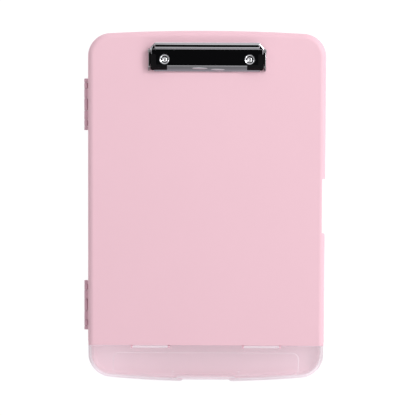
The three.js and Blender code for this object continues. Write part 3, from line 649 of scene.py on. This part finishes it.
def make_lid():
    s = pebble(0, COVER_BOTTOM, LID_TOP, None, (EDGE_IN, EDGE_DOWN), 14)
    cut(s, box(-130, 130, LID_START_Y, 190, -10, 60))
    ring = rounded_box(-92.5, 92.5, -167.6, -144.8, 6.5, 12)
    rings = [[(x, y, LID_TOP - 1) for x, y in ring], [(x, y, LID_TOP + 0.05) for x, y in ring]]
    for i in range(1, 7):
        a = PI / 2 * i / 6
        d = 0.85 * (1 - math.cos(a))
        rings.append([(x, y, LID_TOP + 0.05 + (PANEL_TOP - LID_TOP - 0.05) * math.sin(a)) for x, y in rounded_box(-92.5 + d, 92.5 - d, -167.6 + d, -144.8 - d, 6.5 - d, 12)])
    add(s, loft(rings))
    hollow = pebble(LID_WALL, -12, LID_TOP - LID_WALL, None, (EDGE_IN - 1.5, EDGE_DOWN - 1.5), 10)
    cut(hollow, box(-130, 130, -130, 190, -20, 60),
        box(-FOOT_NOTCH_HALF - 4, FOOT_NOTCH_HALF + 4, -180, -HALF_L + FOOT_NOTCH_DEPTH + 1.8, -20, 60))
    cut(s, hollow)
    e = 0.75
    eased = [(LID_START_Y - e, LID_TOP + 0.01)] + arc_line(LID_START_Y - e, LID_TOP - e, e, 85, 5, 8) + [(LID_START_Y + 0.01, LID_TOP - e), (LID_START_Y + 1, LID_TOP - e), (LID_START_Y + 1, LID_TOP + 1), (LID_START_Y - e, LID_TOP + 1)]
    cut(s, along_x(eased, -130, 130), box(-130, 130, SKIRT_START_Y, -130, 0, LID_TOP - LID_WALL))
    for side in (-1, 1):
        for a in (BARREL_X0 - LUG_WIDTH - 0.7, BARREL_X1):
            x0 = -a - LUG_WIDTH - 0.7 if side < 0 else a
            cut(s, plan(rounded_poly([(x0, -140.9), (x0 + LUG_WIDTH + 0.7, -140.9), (x0 + LUG_WIDTH + 0.7, -130), (x0, -130)], [0.4, 0.4, 0, 0]), 0, 40))
        c0 = -BARREL_X1 if side < 0 else BARREL_X0
        cut(s, box(c0 - 0.01, c0 + BARREL_X1 - BARREL_X0 + 0.01, LID_Y, -130, 0, 40))
    cut(s, foot_notch_cutter(0, 40))
    for side in (-1, 1):
        x0 = -BARREL_X1 if side < 0 else BARREL_X0
        x1 = x0 + BARREL_X1 - BARREL_X0
        add(s, barrel_x(x0, x1, LID_Y, LID_Z, BARREL_R, 0.2),
            barrel_x(x0 - TRUNNION_OUT, x1 + TRUNNION_OUT, LID_Y, LID_Z, TRUNNION_R, 0.1, 28))
        r0 = side * 33 - 0.8
        add(s, box(r0, r0 + 1.6, -172.2, -164.5, 16.2, LID_TOP - 1))
    return s


# ------------------------------------------------------------------------ clip
def bead(path, side):
    """A pressed stiffening bead: tight on its inner edge, with a long shallow slope outwards."""
    section = arc_line(-0.35, 0.35, 0.45, 200, 72, 10) + [(0.02, 0.71), (0.30, 0.59), (0.52, 0.46)] + arc_line(0.45, 0.03, 0.40, 57, -80, 12) + [(0.1, -0.6), (-0.6, -0.6)]
    rings = []
    for i, p in enumerate(path):
        d = path[min(i + 1, len(path) - 1)] - path[max(i - 1, 0)]
        d = Vector((d.x, d.y)).normalized() * side
        rings.append([(p.x - d.y * (0.8 * o + 0.1), p.y + d.x * (0.8 * o + 0.1), p.z + 0.9 * u) for o, u in section])
    return loft(rings)


def jaw_line():
    bend_r, fillet = LIP_BEND_R, 0.9
    bend = arc_line(JAW_FLAT_Y, JAW_FLAT_Z - bend_r, bend_r, 90 + LIP_SLOPE, 90, 12)
    drop = bend[0][1] - LIP_FOOT_Z
    first = (bend[0][0] - drop / math.tan(math.radians(LIP_SLOPE)), LIP_FOOT_Z)
    wall = ROLL_Y - ROLL_R * math.cos(math.radians(40))
    rise = arc_line(wall - fillet, JAW_FLAT_Z + fillet, fillet, -90, 0, 10)
    roll = arc_line(ROLL_Y, ROLL_Z, ROLL_R, 134, -150, 48)
    a, b = Vector(first), Vector(bend[0])
    out = Vector((a.y - b.y, b.x - a.x)).normalized()
    lip = [a + (b - a) * t + out * (0.30 * t * (1 - t)) for t in [i / 8 for i in range(8)]]
    return [(v.x, v.y) for v in lip] + bend + rise + [(wall + 0.01, ROLL_Z + 1.2), (wall + 0.06, ROLL_Z + 1.75)] + roll


def make_jaw():
    line = jaw_line()
    s = along_x(sheet_section(line, SHEET), -JAW_WIDE, JAW_WIDE)
    right = rounded_poly([(JAW_HALF, 128), (JAW_HALF, 150.6), (JAW_WIDE, 150.6), (JAW_WIDE, 155.6), (ROLL_END - 0.6, 155.6), (ROLL_END - 0.6, 170)],
                         [0, 0.4, 0.5, 0.3, 0, 0], 8)
    common(s, plan(right + [(-x, y) for x, y in reversed(right)], 20, 40))
    for side in (-1, 1):
        # access hole at the bottom of a shallow dish
        top = JAW_FLAT_Z + SHEET / 2
        cut(s, rod_z(20, 40, side * RIVET_X, RIVET_Y, DISH_R, 80))
        upper, lower = [], []
        for i in range(15):
            t = i / 14
            r = DISH_R + 0.02 - (DISH_R - ACCESS_R + 0.02) * t
            h = 0.55 * (0.30 * t + 0.70 * t * t)
            upper.append((r, top - h))
            lower.append((r + 0.12, top - h - 0.62 + 0.05 * t))
        prof = [(DISH_R + 0.25, top - 0.06), (DISH_R + 0.02, top - 0.06)] + upper[1:] + [(ACCESS_R - 0.05, top - 0.75), (ACCESS_R, top - 1.1)]
        prof += lower[::-1][:-1] + [(DISH_R + 0.25, top - SHEET + 0.15)]
        add(s, lathe(prof, 80, "Z", (side * RIVET_X, RIVET_Y, 0)))
        x0 = -JAW_WIDE if side < 0 else JAW_WIDE - SHEET
        flange = [(PIVOT_Y + 2.3, JAW_FLAT_Z - 0.3), (PIVOT_Y - 2.3, JAW_FLAT_Z - 0.3)] + arc_line(PIVOT_Y, PIVOT_Z, 2.3, 180, 360, 24)
        add(s, along_x(flange, x0, x0 + SHEET))
        # the plate rounds over into the flange
        r = 1.15
        corner = [(JAW_WIDE + 0.2, top - r)] + arc_line(JAW_WIDE - r, top - r, r, 0, 90, 12) + [(JAW_WIDE - r, 40), (JAW_WIDE + 0.2, 40)]
        cut(s, along_y(corner if side > 0 else [(-x, z) for x, z in reversed(corner)], 140, 155.2))
        cut(s, rod_x(x0 - 1, x0 + SHEET + 1, PIVOT_Y, PIVOT_Z, ROD_BORE_R, 32))
    for side in (-1, 1):
        # slanted rear corner of the flat, with a raised bead along its edge
        corner = [(49.4, 154.6), (54.6, 154.6), (54.9, 156.0), (50.6, 161.15), (49.4, 161.15)]
        add(s, plan(corner if side > 0 else [(-x, y) for x, y in reversed(corner)], JAW_FLAT_Z - 0.41, JAW_FLAT_Z + 0.41),
            bead(smooth_path([(side * x, y, z) for x, y, z in BEAD], 8), side))
        # rounded end that closes the roll
        def ring(r, x, flat=None):
            out = []
            for i in range(72):
                a = 2 * PI * i / 72
                y, z = ROLL_Y + r * math.cos(a), ROLL_Z + r * math.sin(a)
                out.append((side * (flat if flat else ROLL_END - x), y, z))
            return out
        rings = [ring(3.3, 0, 48.6), ring(3.3, 1.0), ring(3.59, 0.99)]
        for i in range(9):
            a = PI / 2 * i / 8
            rings.append(ring(2.99 + 0.6 * math.cos(a), 0.6 - 0.6 * math.sin(a)))
        add(s, loft(rings))
    # two shallow pressed swellings, staggered across the middle of the lip
    a, b = Vector(line[0]), Vector(line[8])
    mid, down = (a + b) / 2, (a - b).normalized()
    out = Vector((down.y, -down.x))
    for x, half, shift in ((-7.2, 8.4, -0.75), (10.6, 7.4, 0.75)):
        rings = []
        for i in range(29):
            u = -1 + 2 * i / 28
            k = max(0.0, 1 - u * u) ** 0.6
            wide, high = 0.35 + 1.15 * k, 0.04 + 0.26 * k
            lean = shift * (1 + 0.25 * u * (1 if x > 0 else -1))
            ring = []
            for j in range(13):
                v = -1 + 2 * j / 12
                q = mid + down * (lean + wide * v) + out * (SHEET / 2 - 0.02 + high * math.cos(v * PI / 2) ** 2)
                ring.append((x + half * u, q.x, q.y))
            for v in (1, -1):
                q = mid + down * (lean + wide * v)
                ring.append((x + half * u, q.x, q.y))
            rings.append(ring)
        add(s, loft(rings))
    return soften(s, 0.14, 2, 40)


def make_base_plate():
    s = plan(rounded_poly([(-56.9, 141.5), (-49.9, 141.5), (-48, 139.4), (48, 139.4), (49.9, 141.5), (56.9, 141.5), (56.9, 156.2), (50, 157.5), (-50, 157.5), (-56.9, 156.2)],
                          [0, 0.8, 0.8, 0.8, 0.8, 0, 0.2, 3, 3, 0.2]), PLATE_Z0, PLATE_Z1)
    profile = rounded_poly([(EAR_FRONT, PLATE_Z0), (156.2, PLATE_Z0), (156.2, 27.4), (155.0, 28.8), (152.0, 29.4), (138.6, 29.4), (EAR_FRONT, 25.6)],
                           [0.2, 0, 1.5, 1.5, 2, 2.5, 1.2])
    for side in (-1, 1):
        z0 = PLATE_Z0
        section = rounded_poly([(54, z0), (EAR_OUT, z0), (EAR_OUT, 29.4), (EAR_TIP, 29.4), (EAR_TIP, 28.5), (EAR_IN, 28.5), (EAR_IN, PLATE_Z1), (54, PLATE_Z1)],
                               [0, 0.55, 1.2, 0.1, 0.1, 0.7, 0.4, 0], 12)
        if side < 0:
            section = [(-x, z) for x, z in reversed(section)]
        ear = along_y(section, EAR_FRONT, 156.2)
        common(ear, along_x(profile, 53 if side > 0 else -60, 60 if side > 0 else -53))
        k0, k1 = (50, EAR_IN - 0.1) if side > 0 else (-EAR_IN + 0.1, -50)
        cut(ear, box(k0, k1, 130, 141.5, 20, 27))
        add(s, ear)
        cut(s, rod_x(55 if side > 0 else -60, 60 if side > 0 else -55, PIVOT_Y, PIVOT_Z, ROD_BORE_R, 32), rod_z(20, 26, side * RIVET_X, RIVET_Y, 4.9, 48))
        t = BOSS_TOP
        add(s, lathe([(2.1, t), (2.1, t - 0.8), (3.3, t - 0.8), (3.6, t - 0.95), (4.6, z0 + 0.1), (5.25, z0 + 0.1), (5.25, PLATE_Z1 - 0.1), (5.1, PLATE_Z1 + 0.05),
                      (4.95, PLATE_Z1 + 0.35), (4.4, t - 0.55), (4.25, t - 0.2), (3.95, t)], 64, "Z", (side * RIVET_X, RIVET_Y, 0)))
    return soften(s, 0.15, 2, 40)


def make_grip(side):
    pts = [(39.2, 135.4), (55.4, 135.4), (GRIP_OUT, 150.4), (GRIP_IN, 150.4), (GRIP_IN, 140.2), (39.2, 140.2)]
    pts = rounded_poly(pts, [0.4, 1.6, 1.4, 0.7, 0.8, 0.4], 8)
    s = plan(pts, 23.25, GRIP_TOP)
    slot = along_x(sheet_section(jaw_line(), SHEET + 0.36), 30, 52.2)
    common(slot, box(-60, 60, 130, 154, 20, 40))
    cut(s, box(-70, 70, 141.2, 160, 20, 24.6),
        along_x([(130, 40), (130, 26.5), (135.4, 26.5), (137.1, 29.2), (138.2, 40)], -70, 70),
        slot,
        along_x([(130, 25.7), (130, 22), (140.3, 22), (140.3, 28.8), (138.3, 28.4), (136.6, 26.9), (135.6, 25.7)], 30, GRIP_IN))
    if side < 0:
        s.data.transform(Matrix.Scale(-1, 4, Vector((1, 0, 0))))
        s.data.flip_normals()
    return soften(s, 0.3, 3, 40)


def make_rivet(x):
    top = BOSS_TOP + 0.1
    prof = [(0, 20.6), (1.1, 20.6), (1.2, 20.4), (1.25, 19.4), (1.6, 19.2), (2.1, 19.2), (2.6, 19.35), (2.75, 19.55), (2.75, 19.75), (2.4, 19.9), (1.75, 19.95),
            (1.75, top), (2.8, top), (2.9, top + 0.08), (2.89, top + 0.2), (2.78, top + 0.36), (2.5, top + 0.56), (2.2, top + 0.72),
            (1.95, top + 0.86), (1.75, top + 0.96), (1.6, top + 1.02), (1.45, top + 1.03), (1.3, top + 0.98), (1.15, top + 0.88), (0.95, top + 0.66),
            (0.75, top + 0.54), (0.45, top + 0.48), (0, top + 0.46)]
    return lathe(prof, 56, "Z", (x, RIVET_Y, 0))


def make_washer(x):
    prof = [(2.05, 20.15), (3.6, 20.15), (3.82, 20.25), (3.9, 20.45), (3.9, 20.95), (2.05, 20.95)]
    return lathe(prof, 48, "Z", (x, RIVET_Y, 0))


def make_rod():
    e = ROD_END
    half = [(ROD_R, e - 0.6), (1.9, e - 0.6), (1.9, e - 0.3), (1.65, e - 0.08), (1.3, e), (0, e)]
    prof = [(r, -h) for r, h in reversed(half)] + half
    return lathe(prof, 32, "X", (0, PIVOT_Y, PIVOT_Z))


def make_pin(axis, a, b, at, r):
    e = 0.25 * r
    prof = [(0, a), (r - e, a), (r - 0.3 * e, a + 0.3 * e), (r, a + e), (r, b - e), (r - 0.3 * e, b - 0.3 * e), (r - e, b), (0, b)]
    return lathe(prof, 24, axis, at)


def make_spring(x, side):
    r, half, turns = 1.72, 3.6, 5
    path = [(x - side * half, PIVOT_Y + 3.2 * (1 - i / 6), PIVOT_Z - r) for i in range(6)]
    n = 200
    for i in range(n + 1):
        u = i / n
        a = -PI / 2 - u * (turns * 2 * PI + PI)
        path.append((x + side * half * (2 * u - 1), PIVOT_Y + r * math.cos(a), PIVOT_Z + r * math.sin(a)))
    path += [(x + side * half, PIVOT_Y + 1.1 * (i + 1) / 5, PIVOT_Z + r) for i in range(5)]
    return tube(path, 0.36, 10)


case_shell = place(make_back_shell(), "case_shell", "case", m_case, ["back_shell"])
cover = place(make_cover(), "writing_cover", "cover", m_cover, ["front_cover"])
lid = place(make_lid(), "clear_lid", "lid", m_clear, ["pen_lid"])
lid.data.materials.append(m_thick)
for p in lid.data.polygons:
    c = p.center * 1000
    barrel = c.y > LID_Y - BARREL_R - 0.02 and BARREL_X0 - 2.0 < abs(c.x) < BARREL_X1 + 2.0
    if barrel:
        p.material_index = 1
jaw = place(make_jaw(), "jaw_plate", "jaw", m_chrome, ["clip_jaw_plate"], 35)
base = place(make_base_plate(), "base_plate", "cover", m_plate, ["clip_base_plate"], 35)
for word, side in (("left", -1), ("right", 1)):
    place(make_grip(side), f"rubber_grip_{word}", "jaw", m_rubber, [f"jaw_grip_{word}"], 50)
    place(make_rivet(side * RIVET_X), f"rivet_{word}", "cover", m_nickel, [f"clip_rivet_{word}"], 40)
    place(make_washer(side * RIVET_X), f"washer_{word}", "cover", m_nickel, [f"rivet_washer_{word}"], 40)
    x = side * 26
    sp = make_spring(x, side)
    sp.name = f"torsion_spring_{word}"
    sp.data.transform(Matrix.Scale(0.001, 4))
    for p in sp.data.polygons:
        p.use_smooth = True
    sp.data.materials.append(m_spring)
    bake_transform(sp)
    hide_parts(f"clip_spring_{word}")
for word, (a, b) in (("upper", HINGES[0]), ("lower", HINGES[1])):
    place(make_pin("Y", a + 0.4, b - 0.4, (HINGE_X, 0, HINGE_Z), 0.75), f"side_pin_{word}", "case", m_pin, [f"hinge_pin_{word}"], 40)
place(make_rod(), "pivot_rod", "cover", m_pin_x, ["clip_pivot_rod"], 40)


# ----------------------------------------------------------------------- stage
floor_mat, nt, b = new_material("floor_white")
b.inputs["Base Color"].default_value = (0.10, 0.10, 0.10, 1)
b.inputs["Roughness"].default_value = 0.9
b.inputs["Specular IOR Level"].default_value = 0.0
b.inputs["Emission Color"].default_value = (1, 1, 1, 1)
b.inputs["Emission Strength"].default_value = 0.96
floor = obj_from([(-6, -6, -0.0004), (6, -6, -0.0004), (6, 6, -0.0004), (-6, 6, -0.0004)], [(0, 1, 2, 3)], "floor")
floor.data.materials.append(floor_mat)

world = bpy.data.worlds.new("studio")
scene.world = world
world.use_nodes = True
wn = world.node_tree
bg = wn.nodes["Background"]
tc = wn.nodes.new("ShaderNodeTexCoord")
sep = wn.nodes.new("ShaderNodeSeparateXYZ")
wn.links.new(tc.outputs["Generated"], sep.inputs["Vector"])
cr = wn.nodes.new("ShaderNodeValToRGB")
els = cr.color_ramp.elements
els[0].position, els[0].color = 0.0, (0.74, 0.60, 0.73, 1)
els[1].position, els[1].color = 1.0, (0.006, 0.006, 0.0065, 1)
for pos, v, tint in ((0.07, 0.60, 0.90), (0.16, 0.33, 0.95), (0.26, 0.27, 0.98), (0.38, 0.68, 1), (0.48, 1.02, 1), (0.80, 1.02, 1), (0.86, 0.50, 1), (0.90, 0.05, 1), (0.94, 0.008, 1)):
    e = els.new(pos)
    e.color = (v, v * tint, v, 1)
wn.links.new(sep.outputs["Z"], cr.inputs["Fac"])
wn.links.new(cr.outputs["Color"], bg.inputs["Color"])
side_fac = wn.nodes.new("ShaderNodeMapRange")
side_fac.inputs["From Min"].default_value = -1.0
side_fac.inputs["From Max"].default_value = 1.0
side_fac.inputs["To Min"].default_value = 0.40
side_fac.inputs["To Max"].default_value = 1.20
wn.links.new(sep.outputs["X"], side_fac.inputs["Value"])
wn.links.new(side_fac.outputs["Result"], bg.inputs["Strength"])
# the backdrop itself is plain white; the graded studio only lights and reflects
backdrop = wn.nodes.new("ShaderNodeBackground")
backdrop.inputs["Color"].default_value = (1, 1, 1, 1)
backdrop.inputs["Strength"].default_value = 1.0
pick = wn.nodes.new("ShaderNodeMixShader")
wn.links.new(wn.nodes.new("ShaderNodeLightPath").outputs["Is Camera Ray"], pick.inputs[0])
wn.links.new(bg.outputs["Background"], pick.inputs[1])
wn.links.new(backdrop.outputs["Background"], pick.inputs[2])
wn.links.new(pick.outputs["Shader"], wn.nodes["World Output"].inputs["Surface"])


def area(name, at, target, sx, sy, power, color=(1, 1, 1)):
    li = bpy.data.lights.new(name, "AREA")
    li.shape = "RECTANGLE"
    li.size, li.size_y = sx, sy
    li.energy = power
    li.color = color
    ob = bpy.data.objects.new(name, li)
    scene.collection.objects.link(ob)
    ob.location = at
    d = Vector(target) - Vector(at)
    ob.rotation_euler = d.to_track_quat("-Z", "Y").to_euler()
    return ob


area("key_upper_right", (1.35, 0.95, 1.30), (0, 0, 0), 0.7, 0.7, 16)
area("key_lower_right", (1.45, -0.75, 1.25), (0, 0, 0), 0.45, 0.45, 3.5)
area("glint_left", (-1.25, 0.85, 1.0), (0, 0, 0), 0.25, 0.5, 1.7)
overhead = area("overhead", (0.1, 0.3, 1.6), (0, 0, 0), 1.2, 1.2, 6.0)
overhead.visible_glossy = False

# ---------------------------------------------------------------------- camera
cam_data = bpy.data.cameras.new("camera")
cam = bpy.data.objects.new("camera", cam_data)
scene.collection.objects.link(cam)
scene.camera = cam
DIST, TILT, ROLL = 1.0, math.radians(2.26), math.radians(0.25)
AIM = Vector((0.0015, -0.00055, 0.017))
cam.location = AIM + Vector((0, math.sin(TILT), math.cos(TILT))) * DIST
back = (cam.location - AIM).normalized()
right = (Vector((1, 0, 0)) - back * back.x).normalized()
rot = Matrix((right, back.cross(right), back)).transposed()
cam.rotation_euler = (rot @ Matrix.Rotation(ROLL, 3, "Z")).to_euler()
cam_data.sensor_width = 36
cam_data.lens = 36 * DIST / 0.4147
cam_data.clip_start = 0.01
cam_data.clip_end = 50

scene.view_settings.view_transform = "Standard"
scene.view_settings.look = "None"
scene.view_settings.exposure = 0
scene.view_settings.gamma = 1
